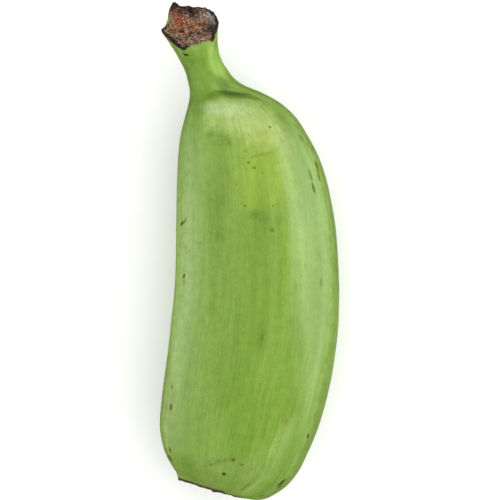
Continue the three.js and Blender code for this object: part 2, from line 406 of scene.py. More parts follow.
def packed(place):
    """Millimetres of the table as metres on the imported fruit."""
    x, y, z = place * MM
    return Vector((x + shift[0], y + shift[1], z))


can = bmesh.new()
ring_of = can.verts.layers.int.new("ring")
profile = []
for index, (kind, value) in enumerate(RINGS):
    radius, height = can_point(kind, value)
    vertex = can.verts.new((radius, 0, height))
    vertex[ring_of] = index
    profile.append(vertex)
edges = [can.edges.new(pair) for pair in zip(profile, profile[1:])]
bmesh.ops.spin(
    can, geom=profile + edges, cent=(0, 0, 0), axis=(0, 0, 1), steps=SIDES,
    angle=2 * math.pi, use_merge=True,
)
bmesh.ops.remove_doubles(can, verts=can.verts, dist=POLE_GAP)
places = [carried(kind, value) for kind, value in RINGS]
lowest = np.min([ring.min(axis=0) for ring in places], axis=0)
shift = np.array(CAD_BOX[0])[:2] - lowest[:2] * MM
can.verts.index_update()
side_of = {}
for vertex in can.verts:
    side = nearest_side(math.degrees(math.atan2(vertex.co.y, vertex.co.x)))
    side_of[vertex.index] = side
    vertex.co = packed(places[vertex[ring_of]][side])
    vertex.co.z = max(vertex.co.z, 0)
bmesh.ops.recalc_face_normals(can, faces=can.faces)
print(len(can.verts), "points, moved by", (shift / MM).round(2), "mm")

# %% [markdown]
# ## What each point knows
# The materials need to know which way the peel grew, and a place in space can't tell them. So
# each point carries its own numbers: its place round and along the fruit, how torn, dry or corky
# it is, how near a ridge, and the tints of the break. The place round is a point on a circle,
# which has no seam, where an angle would jump from 360 to 0.

# %% Tints of the break
TINTS = {
    # across, towards the body, reach, strength, in half widths of the break
    "dark": [
        (0.1, -0.8, 0.26, 1), (-0.2, -0.78, 0.2, 0.7), (-0.55, -0.85, 0.15, 0.7),
        (0.76, 0.2, 0.26, 0.8), (0.62, -0.02, 0.16, 0.6), (-0.33, -0.07, 0.14, 0.9),
        (-0.03, 0.36, 0.12, 1), (-0.6, 0.42, 0.2, 0.6), (-0.28, 0.9, 0.2, 0.7),
        (0.3, 0.12, 0.1, 0.6), (0.35, 0.55, 0.12, 0.5),
    ],
    "rust": [
        (-0.44, -0.42, 0.27, 1), (-0.34, -0.08, 0.2, 0.9), (0.42, -0.15, 0.16, 0.7),
        (0.05, -0.2, 0.2, 0.4), (0.1, 0.1, 0.15, 0.4),
    ],
    "silver": [
        (0.74, -0.5, 0.3, 1), (0.78, -0.15, 0.2, 0.9), (0.72, 0.4, 0.2, 0.4),
        (0.1, 0.8, 0.3, 0.3), (-0.7, -0.5, 0.15, 0.4), (0.55, 0.7, 0.2, 0.4),
    ],
}


def tint_at(tint, across, near):
    """How strong a tint is at a place, from 0 to 1."""
    return max(
        strength * math.exp(-((across - at_across) ** 2 + (near - at_near) ** 2) / reach**2)
        for at_across, at_near, reach, strength in TINTS[tint]
    )


print({tint: len(rows) for tint, rows in TINTS.items()}, "tinted places")

# %% Bands of painted light and painted shade along the body
# Pale bands are painted light: a painted highlight beside the outer ridge, and painted light along
# the sides and towards the underside.
PAINTED_LIGHT_BANDS = [
    # degrees round the body, half width, strength
    (34, 7, 0.5), (26, 9, 0.5), (11, 12, 0.55), (150, 8, 0.35), (168, 14, 0.6), (205, 15, 0.3),
    (335, 15, 0.3),
]
# Darker lines along the ridges are painted shade, in the same columns.
PAINTED_SHADE_LINES = [(39, 2.2, 0.8), (45, 5, 1), (231, 2, 0.6), (297, 2, 0.6)]
BANDS_END = 0.5  # the evenness at which they have faded out
WORN_RIDGES = RIDGES[:4]  # the faint one isn't rubbed


def bands_at(share, bands):
    """How strong the bands are on every side, from 0 to 1."""
    evenness, turn = station_at(share)[7:9]
    strengths = [
        strength * np.exp(-(((ANGLES - degrees - turn + 180) % 360 - 180) / width) ** 2)
        for degrees, width, strength in bands
    ]
    return np.max(strengths, axis=0) * (1 - min(evenness / BANDS_END, 1))


def ring_numbers(kind, value):
    """The numbers that differ from side to side of a ring."""
    if kind != "side":
        return dict.fromkeys(("ridge", "pale", "line"), 0 * ANGLES)
    # The pale bands carry painted light, and the line bands painted shade beside the ridges.
    return {
        "ridge": np.max([crest_at(value, ridge) for ridge in WORN_RIDGES], axis=0),
        "pale": bands_at(value, PAINTED_LIGHT_BANDS),
        "line": bands_at(value, PAINTED_SHADE_LINES),
    }


numbers_round = [ring_numbers(kind, value) for kind, value in RINGS]
print(len(PAINTED_LIGHT_BANDS), "pale bands,", len(PAINTED_SHADE_LINES), "green lines")

# %% Numbers carried by the points
ALONG_UNIT = 30  # millimetres, about the fruit's half width
FACE_RADIUS = 10.5  # millimetres
THICK, SLENDER = 26, 12  # half widths of body and stalk
SMOOTH_END, SMOOTHEST = 16, 0.8  # millimetres from the scar, strength there

names = ("torn", "edge", "cork", "ridge", "pale", "line", "smooth", *TINTS)
layers = {name: can.verts.layers.float.new(name) for name in names}
place_layer = can.verts.layers.float_vector.new("peel_place")
for vertex in can.verts:
    kind, value = RINGS[vertex[ring_of]]
    side = side_of[vertex.index]
    turn = math.radians(ANGLES[side])
    out = value if kind in ("face", "scar") else 1
    if kind == "side":
        along = np.interp(value, FINE_SHARES, DISTANCE)
    else:
        along = SIDE_LENGTH + (1 - out) * FACE_RADIUS if kind in ("face", "lip") else 0
    below_edge = {"face": along - SIDE_LENGTH, "lip": (1 - value) * EDGE_STAND[side]}.get(
        kind, SIDE_LENGTH - along + EDGE_STAND[side]
    )
    reach = (EDGE_INWARDS if kind == "face" else EDGE_DRY)[side]
    dry = math.exp(-((below_edge / reach) ** 2))
    vertex[layers["torn"]] = 1.0 if kind == "face" else dry
    vertex[layers["edge"]] = dry * EDGE_BLACK[side]
    vertex[layers["cork"]] = 1.0 if kind == "scar" else math.exp(-((along / CORK_REACH[side]) ** 2))
    for name, numbers in numbers_round[vertex[ring_of]].items():
        vertex[layers[name]] = numbers[side]
    share = share_of(kind, value)
    inner_x, inner_y, outer_x, outer_y = station_at(share)[:4]
    half_width = np.hypot(outer_x - inner_x, outer_y - inner_y) / 2
    smooth = SMOOTHEST * (1 - along / SMOOTH_END)
    if share > 0.5:
        smooth = (THICK - half_width) / (THICK - SLENDER)
    vertex[layers["smooth"]] = min(max(smooth, 0), 1)
    for tint in TINTS:
        vertex[layers[tint]] = tint_at(tint, out * math.cos(turn), out * math.sin(turn))
    vertex[place_layer] = (math.cos(turn), math.sin(turn), along / ALONG_UNIT)
print("layers", names)

# %% [markdown]
# ## The peel isn't perfectly smooth
# A real peel is made of long flat strands with soft dents between them, which bend the
# reflections. Each point of the side moves a little along its normal: narrow waves that run
# with the fruit, and broad lumps. Nothing goes below the table, so the flat spot underneath
# stays.

# %% Strands and dents
STRAND_HEIGHT = 0.1 * MM
STRAND_WAVES = ((1.0, 6, 0.5, 0), (0.4, 16, 0.9, 4))  # height, round, along, where in the noise
LUMP_HEIGHT = 0.22 * MM
LUMP_SIZE = 17 * MM
END_FADE = 3  # whole a third of ALONG_UNIT from either end
STALK_CALM = 0.85  # share of the strands lost in smooth places

can.normal_update()
moves = {}
for vertex in can.verts:
    if RINGS[vertex[ring_of]][0] != "side":
        continue
    x, y, along = vertex[place_layer]
    waves = sum(
        tall * noise.noise(Vector((x * round_it, y * round_it, along * along_it + start)))
        for tall, round_it, along_it, start in STRAND_WAVES
    )
    lumps = noise.noise(vertex.co / LUMP_SIZE)
    from_end = min(along, SIDE_LENGTH / ALONG_UNIT - along) * END_FADE
    roughest = 1 - STALK_CALM * vertex[layers["smooth"]]
    height = STRAND_HEIGHT * waves * roughest + LUMP_HEIGHT * lumps
    moves[vertex] = vertex.normal * height * min(from_end, 1)
for vertex, move in moves.items():
    vertex.co += move
    vertex.co.z = max(vertex.co.z, 0)
print("largest move", round(max(move.length for move in moves.values()) / MM, 2), "mm")

# %% The peel as an object
fruit_tree = BVHTree.FromBMesh(can)
fruit = placed("fruit_peel", can)
fruit.data.shade_smooth()
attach(fruit, "root")
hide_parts("plantain")
print("peel", [round(size / MM, 1) for size in fruit.dimensions], "mm")

# %% [markdown]
# ## Fibres in the break
# Torn fibres are what makes a broken stalk look broken. Hair particles would not survive an
# export, so each fibre is a splinter, a tapered four-sided cone. All are made first, then cut
# across and bent together, because each point carries how far along its splinter it is. They lean
# outwards, in light and dark clumps, and a fringe hangs over the lower edge.

# %% One fibre
FIBRE_TIP = 0.25  # of the width at its root

bunch = bmesh.new()
fibre_layers = {name: bunch.verts.layers.float.new(name) for name in ("tone", *TINTS)}
gone_layer = bunch.verts.layers.float.new("gone")
bend_layer = bunch.verts.layers.float_vector.new("bend")


def add_fibre(root, heading, length, width, numbers, bend):
    """A straight splinter whose points carry how it will be bent."""
    turned = heading.to_track_quat("Z", "Y").to_matrix().to_4x4()
    turned.translation = root + heading * length / 2
    made = bmesh.ops.create_cone(
        bunch, cap_ends=True, segments=4, radius1=width, radius2=width * FIBRE_TIP,
        depth=length, matrix=turned,
    )
    for vertex in made["verts"]:
        vertex[gone_layer] = (vertex.co - root).dot(heading) / length
        vertex[bend_layer] = bend
        for name, number in numbers.items():
            vertex[fibre_layers[name]] = number


def place_on_face(turn, out):
    """A point of the break, by direction and share of the way out."""
    return packed(places[round(out * (FACE_RINGS - 1))][nearest_side(math.degrees(turn))])


print("each fibre carries", list(fibre_layers))

# %% A bunch of fibres
FIBRE_COUNT, FRINGE_COUNT = 1500, 260
FIBRE_LENGTHS = (0.6, 1.8)  # millimetres
FIBRE_WIDTHS = (0.06, 0.16)
FIBRE_SINK = 0.12 * MM  # how deep the roots go
FIBRE_BEND = 0.6  # of the length
FIBRE_CUTS = 2
FRINGE_DIRECTIONS = (52, 106)  # degrees, where the lower edge is
CLUMP_SIZE = 0.8 * MM

random.seed(11)
level, steep, onwards = (Vector(way).normalized() for way in section_frame(1)[1:])
for count in range(FIBRE_COUNT + FRINGE_COUNT):
    turn, out = math.radians(random.uniform(0, 360)), math.sqrt(random.uniform(0.01, 0.92))
    root = place_on_face(turn, out)
    clump = 0.5 + 1.7 * noise.noise(root / CLUMP_SIZE)
    rise, tone = random.uniform(0.15, 1.1), clump + random.uniform(-0.4, 0.4)
    if count >= FIBRE_COUNT:
        turn, out = math.radians(random.uniform(*FRINGE_DIRECTIONS)), random.uniform(0.93, 1.0)
        root, rise = place_on_face(turn, out), random.uniform(-0.9, 0.1)
    outwards = level * math.cos(turn) + steep * math.sin(turn)
    around = onwards.cross(outwards)
    heading = (outwards + around * random.gauss(0, 0.8) + onwards * rise).normalized()
    length = random.uniform(*FIBRE_LENGTHS) * (1.15 - 0.5 * out)
    across, near = out * math.cos(turn), out * math.sin(turn)
    numbers = {tint: tint_at(tint, across, near) for tint in TINTS}
    side = nearest_side(math.degrees(turn))
    burnt = EDGE_BLACK[side] * math.exp(-(((1 - out) * FACE_RADIUS / EDGE_INWARDS[side]) ** 2))
    numbers["dark"] = max(numbers["dark"], burnt)
    numbers["tone"] = tone
    bend = onwards * random.uniform(-0.9, 0.3) + around * random.gauss(0, 0.4)
    add_fibre(
        root - onwards * FIBRE_SINK, heading, length * MM,
        random.uniform(*FIBRE_WIDTHS) * MM, numbers, bend * length * FIBRE_BEND * MM,
    )
long_edges = [edge for edge in bunch.edges if edge.calc_length() > FIBRE_WIDTHS[1] * 2 * MM]
bmesh.ops.subdivide_edges(bunch, edges=long_edges, cuts=FIBRE_CUTS)
for vertex in bunch.verts:
    vertex.co += Vector(vertex[bend_layer]) * vertex[gone_layer] ** 2
fibres = placed("stalk_fibres", bunch)
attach(fibres, "root")
print(FIBRE_COUNT + FRINGE_COUNT, "fibres,", len(fibres.data.polygons), "faces")

# %% [markdown]
# ## Writing materials as sums
# A graph written node by node is hard to read. Shade wraps a node's output so that masks can be
# added, subtracted and multiplied as numbers are, and Finish makes any other node from its type,
# its settings and its sockets. Colours are given as they look on screen, and a function takes the
# studio's light out.

# %% Masks as numbers
class Shade:
    """An output of a node, to write sums with."""

    def __init__(self, finish, socket):
        self.finish, self.socket = finish, socket

    def maths(self, operation, first, second):
        return self.finish.node("ShaderNodeMath", {"operation": operation}, {0: first, 1: second})

    def __add__(self, other):
        return self.maths("ADD", self, other)

    def __sub__(self, other):
        return self.maths("SUBTRACT", self, other)

    def __rsub__(self, other):
        return self.maths("SUBTRACT", other, self)

    def __mul__(self, other):
        return self.maths("MULTIPLY", self, other)

    __radd__ = __add__
    __rmul__ = __mul__


print("sums ready")

# %% Finishes
MIX_FACTOR, MIX_A, MIX_B, MIX_RESULT = 0, 6, 7, 2  # the colour sockets of a Mix node


class Finish:
    """The nodes of a material, or of the world."""

    def __init__(self, owner, shader="Principled BSDF"):
        owner.use_nodes = True
        self.owner, self.tree = owner, owner.node_tree
        self.shader = self.tree.nodes[shader]

    def node(self, kind, settings=None, sockets=None, output=0):
        """A new node, set up first because its settings decide its sockets."""
        made = self.tree.nodes.new(kind)
        for name, value in (settings or {}).items():
            setattr(made, name, value)
        for name, value in (sockets or {}).items():
            self.feed(made.inputs[name], value)
        return Shade(self, made.outputs[output])

    def feed(self, socket, value):
        if isinstance(value, Shade):
            self.tree.links.new(value.socket, socket)
        else:
            socket.default_value = value

    def carried(self, name, output="Fac"):
        """What the points carry under a name."""
        return self.node("ShaderNodeAttribute", {"attribute_name": name}, output=output)

    def place(self):
        return self.node("ShaderNodeTexCoord", output="Object")

    def stretched(self, vector, scale):
        return self.node("ShaderNodeMapping", {}, {"Vector": vector, "Scale": scale})

    def noise(self, vector, scale, detail=2, roughness=0.5, curl=0):
        sockets = {
            "Vector": vector, "Scale": scale, "Detail": detail, "Roughness": roughness,
            "Distortion": curl,
        }
        return self.node("ShaderNodeTexNoise", {}, sockets)

    def fade(self, value, start, end, low=0.0, high=1.0):
        """Runs smoothly from low at start to high at end."""
        return self.node(
            "ShaderNodeMapRange", {"interpolation_type": "SMOOTHSTEP"},
            {"Value": value, "From Min": start, "From Max": end, "To Min": low, "To Max": high},
        )

    def mix(self, factor, first, second, way="MIX"):
        return self.node(
            "ShaderNodeMix", {"data_type": "RGBA", "blend_type": way, "clamp_factor": True},
            {MIX_FACTOR: factor, MIX_A: first, MIX_B: second}, MIX_RESULT,
        )

    def bump(self, height, distance, strength):
        sockets = {"Height": height, "Distance": distance, "Strength": strength}
        return self.node("ShaderNodeBump", {}, sockets)

    def dress(self, piece, sockets):
        """Feeds the shader, and puts the material on a piece if there is one."""
        for name, value in sockets.items():
            self.feed(self.shader.inputs[name], value)
        if piece:
            piece.data.materials.append(self.owner)
        print(self.owner.name, "has", len(self.tree.nodes), "nodes")


print("finishes ready")

# %% Colours as they will look
STUDIO_LIGHT = 1.35  # on the upper side, where 1 leaves colours as they are
SHINE = 0.025  # white light that the waxy peel reflects everywhere
DARKEST = 0.2  # what the shine leaves at least of a colour


def colour(red, green, blue):
    """The linear colour that looks like a screen colour, 0 to 255, in this studio."""
    def surface(part):
        part /= 255
        linear = part / 12.92 if part <= 0.04045 else ((part + 0.055) / 1.055) ** 2.4
        return max(linear - SHINE, linear * DARKEST) / STUDIO_LIGHT
    return surface(red), surface(green), surface(blue), 1.0


print("mid green is", [round(part, 3) for part in colour(140, 174, 74)[:3]])

# %% [markdown]
# ## Marks on the peel
# Every plantain has its own scars: brown scuffs where fruit rubbed against fruit, and olive
# smudges. Painting them would need an image. Here each is a small stretched ball round a point on
# the peel, found by a line of sight from the camera, and the material darkens inside it. Marks on
# hidden sides are placed by their place on the fruit.

# %% Where the marks are
SEEN_SPOTS = [
    # across and down in the picture, reach along and across in millimetres, direction, strength
    (182, 223.5, 2.6, 1.3, 20, 0.9), (185, 220.5, 2.6, 0.8, 50, 0.7),
    (184, 276, 1.7, 1.3, 60, 0.9), (184, 282, 3.4, 0.7, 90, 0.5), (193, 184, 1.1, 0.8, 90, 0.5),
    (272, 230, 2.2, 1.8, 0, 0.65), (245, 206, 1.1, 0.9, 0, 0.65), (254, 168, 1.3, 1.1, 0, 0.65),
    (248.5, 162.5, 1.1, 0.9, 0, 0.65), (263, 172.5, 1, 0.9, 0, 0.5),
    (270, 127, 1.3, 1.1, 30, 0.65), (254, 156.5, 3.4, 0.8, 17, 0.35),
    (262, 154.5, 4.2, 0.9, 14, 0.4), (270, 152.8, 2.6, 0.8, 14, 0.35),
    (310.5, 175, 5.6, 1.2, -77, 0.65), (313.5, 188, 4.6, 1.1, -75, 0.8),
    (317, 167, 5, 2.2, -76, 0.65), (319, 177, 4.4, 1.4, -74, 0.65), (317, 165, 2.6, 1.2, -76, 0.8),
    (321, 282, 3.8, 1.2, 88, 0.5), (262, 338, 3.2, 1.5, 80, 0.65),
    (296.5, 127, 3.4, 1.1, -58, 0.5), (301.5, 138, 3, 1.2, -60, 0.65),
    (264, 332, 1.4, 1.1, 40, 0.5), (286, 421, 2.2, 1.5, 60, 0.4), (308, 436, 3, 1.5, -40, 0.8),
    (281.5, 483, 4, 2.2, 52, 0.9), (279.5, 487, 2.2, 1.3, 60, 0.9), (224, 474, 1.6, 1.4, 0, 1),
    (211, 465, 1.1, 0.8, 20, 0.5), (218, 461.5, 1.3, 0.9, 30, 0.5), (233, 460, 1.6, 1.3, 0, 0.8),
    (242, 465, 1.6, 1.2, 40, 0.65), (226, 459, 1, 0.8, 10, 0.5), (204, 466, 1, 0.9, 0, 0.4),
    (209, 461, 0.9, 0.8, 0, 0.4), (196, 471, 1.1, 0.8, 0, 0.4), (261, 496, 3, 0.9, 5, 0.8),
    (240, 496, 2.4, 0.8, -10, 0.65), (172, 387, 2.4, 1, 88, 0.6), (171, 407, 2.6, 1.3, 88, 0.8),
    (170, 450, 2.6, 1.3, 80, 0.7), (170, 458, 3.4, 1.3, -62, 0.9), (185.5, 54.8, 2.4, 1.3, 5, 1),
    (305, 265, 1.6, 0.9, 90, 0.4), (252, 470, 0.9, 0.7, 0, 0.4), (207, 182, 1, 0.8, 0, 0.4),
    (214, 180, 0.9, 0.7, 0, 0.4), (245, 151, 0.9, 0.7, 0, 0.4), (204, 192, 1.1, 0.7, 80, 0.4),
    (212, 199, 1, 0.8, 30, 0.4), (256, 214, 1.6, 0.9, 60, 0.5), (260, 221, 1.3, 0.8, -30, 0.4),
    (229, 143, 1.8, 1, -40, 0.4), (222, 136, 1.4, 0.9, 20, 0.35), (200, 243, 1, 0.8, 0, 0.4),
    (211, 262, 0.9, 0.7, 0, 0.35),
]
SEEN_SMUDGES = [
    # the same
    (226, 141, 4.6, 4, 0, 0.45), (220, 134, 3.6, 2.6, 0, 0.4), (211, 135, 3.2, 2.6, 0, 0.3),
    (255, 215, 4.4, 3, 0, 0.6), (265, 219, 3.6, 3, 0, 0.4), (280, 220, 4.4, 2.2, 60, 0.3),
    (261, 336, 9, 2.2, 84, 0.4), (244, 141, 15.8, 0.7, 104, 0.35), (245, 252, 9, 0.7, 90, 0.3),
    (218, 236, 3, 2.2, 90, 0.4), (223, 238, 2.4, 1.6, 90, 0.35), (219, 205, 6, 4, 90, 0.25),
    (281, 118, 6, 3, -60, 0.55), (286, 131, 6, 3.2, -62, 0.5), (292, 148, 6, 1.8, -66, 0.3),
    (213, 464, 5, 1.6, 20, 0.5), (222, 461, 5, 1.8, 10, 0.5), (232, 458, 3, 2.4, 60, 0.45),
    (205, 236, 2.6, 2, 90, 0.25), (203, 325, 7, 2, 90, 0.2),
]
HIDDEN_SPOTS = [
    # share along, degrees round, reach along and across in millimetres, strength
    (0.3, 302, 9, 1.6, 0.8), (0.46, 300, 5, 1.2, 0.6), (0.62, 303, 3.2, 1.4, 0.9),
    (0.36, 236, 6, 1.5, 0.7), (0.55, 238, 8, 1.1, 0.6), (0.24, 236, 3, 1.4, 0.9),
    (0.42, 200, 1.8, 1.3, 0.8), (0.5, 340, 1.6, 1.2, 0.8), (0.33, 330, 2.2, 1, 0.7),
    (0.58, 210, 1.5, 1.2, 0.7), (0.28, 265, 2, 1.4, 0.8), (0.64, 272, 1.4, 1.1, 0.6),
    (0.22, 320, 1.6, 1.2, 0.8), (0.47, 185, 3.4, 1, 0.5),
]
print(len(SEEN_SPOTS) + len(HIDDEN_SPOTS), "spots,", len(SEEN_SMUDGES), "smudges")

# %% Laying the marks on the peel
FACING = 90  # degrees, along the fruit


def mark_frame(point, normal, direction):
    """The place and turn of a mark on the peel."""
    turn = math.radians(direction)
    long = Vector((math.cos(turn), math.sin(turn), 0))
    long = (long - normal * long.dot(normal)).normalized()
    side = normal.cross(long)
    return point, Matrix((long, side, normal)).transposed().to_euler()


def seen_point(across, down):
    """The point of the peel under a pixel of the picture, and its normal."""
    half, pixel = PICTURE_SIDE / 2, PIXEL * MM
    sight = Vector(((across - half) * pixel, (half - down) * pixel, -CAMERA_DISTANCE))
    return fruit_tree.ray_cast(camera.location, sight.normalized())[:2]


def seen_mark(across, down, length, width, direction, strength):
    """A mark under a pixel of the picture."""
    return *mark_frame(*seen_point(across, down), direction), length * MM, width * MM, strength


def hidden_mark(share, degrees, length, width, strength):
    """A mark at a place on the fruit, lying along it."""
    middle, across, up, _ = section_frame(share)
    x, z = section_outline(share)
    side = nearest_side(degrees)
    point, normal = fruit_tree.find_nearest(packed(middle + across * x[side] + up * z[side]))[:2]
    return *mark_frame(point, normal, FACING), length * MM, width * MM, strength


spots = [seen_mark(*row) for row in SEEN_SPOTS] + [hidden_mark(*row) for row in HIDDEN_SPOTS]
smudges = [seen_mark(*row) for row in SEEN_SMUDGES]
print(len(spots) + len(smudges), "marks on the peel")

# %% [markdown]
# ## The peel
# Green peel is never one green. It yellows towards the stalk, is greyer where its bloom is
# rubbed, and strands under the skin show as darker and lighter streaks. All of that is noise
# stretched along the fruit, at several sizes, over soft zones. Many zones are painted
# highlights and painted shade, the pale bands are painted light, and the feet of the hollows
# get painted shade. Dry edge, cork and marks are laid over it, and roughen it, because only
# living peel is waxy.

# %% Zones of the peel
# Some zones are the peel's own yellower, greyer or deeper greens; many are painted highlights (the
# shoulder bulge, the neck's right side, bands on the right and at the blossom end) and painted
# shade (the left edge, the neck's left side, beside the shoulder ridge).
TONE_LIGHT_AND_SHADE_ZONES = [
    # across, down, half width and half height in pixels, turn, red, green, blue, strength
    (262, 172, 26, 48, 0, 158, 188, 74, 0.8), (206, 160, 12, 24, 0, 148, 184, 82, 0.5),
    (215, 290, 12, 60, 0, 142, 176, 78, 0.5), (214.5, 37, 2.5, 6, -12, 176, 190, 88, 0.7),
    (246, 116, 40, 18, 0, 178, 204, 116, 0.8), (258, 132, 28, 15, -15, 182, 204, 112, 0.7),
    (214, 200, 12, 40, 0, 128, 162, 74, 0.4), (226, 185, 10, 22, 0, 124, 156, 70, 0.3),
    (265, 219, 16, 11, 20, 128, 158, 76, 0.5), (242, 395, 22, 75, 0, 124, 160, 56, 0.6),
    (260, 270, 10, 80, 0, 120, 156, 52, 0.6), (284, 262, 7, 75, 0, 138, 172, 64, 0.8),
    (243, 262, 8, 60, 0, 128, 164, 62, 0.6), (280, 400, 17, 46, -8, 130, 166, 60, 0.8),
    (309, 396, 4, 40, -14, 166, 196, 106, 0.4), (212, 118, 14, 13, 0, 176, 208, 112, 0.8),
    (283, 442, 8, 24, -29, 158, 188, 100, 0.8), (188, 150, 8, 44, 3, 112, 152, 40, 0.85),
    (170, 408, 7, 44, 3, 124, 154, 52, 0.85), (316, 165, 5, 22, -18, 152, 186, 84, 0.6),
    (225, 109, 24, 8, -4, 190, 216, 144, 0.85), (228, 290, 14, 70, 0, 142, 176, 82, 0.5),
    (197, 300, 12, 115, 0, 150, 183, 90, 0.6), (190, 400, 20, 50, 0, 142, 174, 82, 0.6),
    (225, 474, 42, 18, 0, 140, 170, 86, 0.6), (205, 72, 9, 26, 0, 126, 168, 60, 0.7),
    (216, 64, 7, 16, 15, 158, 197, 84, 0.9), (192, 72, 6, 24, 10, 122, 158, 66, 0.7),
    (284, 110, 18, 6, -45, 136, 168, 74, 0.5), (196, 112, 9, 14, 0, 122, 156, 66, 0.6),
    (250, 489, 13, 1.5, 43, 172, 196, 118, 0.35), (212, 51, 4, 4, 0, 172, 206, 96, 0.6),
]
FOLD_SHADES = [
    # the same, for painted shade at the foot of the hollows
    (231, 93.3, 15, 3.1, -8, 58, 94, 16, 0.72), (234, 96, 12, 3, -10, 78, 114, 26, 0.5),
    (252, 97.5, 9, 3, -24, 84, 122, 30, 0.35), (215, 94.5, 12, 4.5, 10, 92, 130, 36, 0.45),
    (222, 84, 5, 9, 30, 88, 128, 26, 0.6), (245, 487, 12, 1.3, 43, 96, 126, 52, 0.5),
]
ZONE_DEPTH, FOLD_SHADE_DEPTH = 60 * MM, 5 * MM  # zones go right through
SOFT_REACH = 2  # wider than the zone, because it fades


def nearness(finish, point, turn, size):
    """1 at a point, falling to 0 at the given distances along the turned axes."""
    local = finish.node(
        "ShaderNodeMapping", {"vector_type": "TEXTURE"},
        {"Vector": finish.where, "Location": point, "Rotation": turn, "Scale": size},
    )
    ball = {"gradient_type": "SPHERICAL"}
    return finish.node("ShaderNodeTexGradient", ball, {"Vector": local}, "Fac")


def zone_mask(finish, across, down, half_width, half_height, turn, depth):
    """Soft and ragged, round the point seen at a pixel."""
    point, _ = seen_point(across, down)
    size = (half_width * SOFT_REACH * PIXEL * MM, half_height * SOFT_REACH * PIXEL * MM, depth)
    near = nearness(finish, point, (0, 0, math.radians(turn)), size)
    return finish.fade(near + finish.unrest, 0.25, 0.75)


def marks_mask(finish, marks, softness):
    """The strongest of the marks at each place, with ragged outlines."""
    whole = None
    for strength in sorted({mark[4] for mark in marks}):
        near = None
        for point, turn, length, width, _ in [mark for mark in marks if mark[4] == strength]:
            one = nearness(finish, point, turn, (length, width, max(length, width)))
            near = one if near is None else near.maths("MAXIMUM", near, one)
        mask = finish.fade(near + finish.ragged, 0.5 - softness, 0.5 + softness, 0.0, strength)
        whole = mask if whole is None else whole.maths("MAXIMUM", whole, mask)
    return whole


print(len(TONE_LIGHT_AND_SHADE_ZONES), "zones and", len(FOLD_SHADES), "folds")

# %% Streaks and blotches
# fineness across, up and along the fruit
BROAD, STRANDS, FINE, THREADS = (3.4, 3.4, 0.55), (13, 13, 0.8), (46, 46, 2.4), (75, 75, 1.3)

peel = Finish(bpy.data.materials.new("green_waxy_peel"))
grown = peel.carried("peel_place", "Vector")
where = peel.where = peel.place()
blotches = peel.noise(where, 330, 3, 0.6)
peel.unrest = (peel.noise(where, 75, 3) - 0.5) * 0.5 + (blotches - 0.5) * 0.25
peel.ragged = (peel.noise(where, 2300, 3, 0.6) - 0.5) * 0.9

broad = peel.noise(peel.stretched(grown, BROAD), 1, 3)
strands = peel.noise(peel.stretched(grown, STRANDS), 1, 3)
fine = peel.noise(peel.stretched(grown, FINE), 1, 4, 0.6)
grain = peel.noise(where, 2600, 2)
streaky = peel.fade(peel.noise(where, 28, 2), 0.44, 0.62, 0.25, 1.0)
print(len(peel.tree.nodes), "nodes")

# %% Greens of the peel, with painted highlights and painted shade
STRAND_SHADE, FINE_SHADE, THREAD_SHADE = 0.3, 0.75, 0.1
BLOTCH_SHADE, GRAIN_SHADE = 0.42, 0.6
CALM = 0.7  # share of the streaks lost in smooth places

green = peel.mix(peel.fade(broad, 0.34, 0.68), colour(130, 166, 66), colour(148, 180, 82))
# The zones lay the peel's tones with painted highlights and painted shade, then the folds lay
# painted shade at the feet of the hollows.
for rows, depth in ((TONE_LIGHT_AND_SHADE_ZONES, ZONE_DEPTH), (FOLD_SHADES, FOLD_SHADE_DEPTH)):
    for *shape, red, green_part, blue, strength in rows:
        zone = zone_mask(peel, *shape, depth) * strength
        green = peel.mix(zone, green, colour(red, green_part, blue))
# The pale bands paint highlight and light on the sides, and the lines paint shade beside the
# ridges.
painted_light_mask = peel.carried("pale") * peel.fade(blotches, 0.2, 0.6, 0.7, 1.0)
green = peel.mix(painted_light_mask, green, colour(200, 232, 146))
painted_shade_line = peel.carried("line") * peel.fade(blotches, 0.3, 0.6) * 0.7
green = peel.mix(painted_shade_line, green, colour(112, 150, 50))
thick = 1 - peel.carried("smooth") * CALM
threads = peel.fade(peel.noise(peel.stretched(grown, THREADS), 1, 3, 0.6), 0.5, 0.36)
streaks = (strands - 0.5) * STRAND_SHADE + (fine - 0.5) * FINE_SHADE * streaky
shading = 1 + (streaks - threads * THREAD_SHADE) * thick
shading = shading + (blotches - 0.5) * BLOTCH_SHADE + (grain - 0.5) * GRAIN_SHADE
greys = peel.node(
    "ShaderNodeCombineColor", {}, {"Red": shading, "Green": shading, "Blue": shading * shading}
)
green = peel.mix(1.0, green, greys, "MULTIPLY")
print(len(peel.tree.nodes), "nodes")

# %% [markdown]
# ## Specks, worn ridges and marks
# Tiny brown specks are scattered by a Voronoi pattern: each cell has one point, and a random
# colour per cell decides whether its dot shows. The ridges are worn to tan where fruit touched.

# %% Marks over the green
SPECKS_PER_METRE = 230
SPOT_EDGE, SMUDGE_EDGE = 0.2, 0.45  # how soft their outlines are

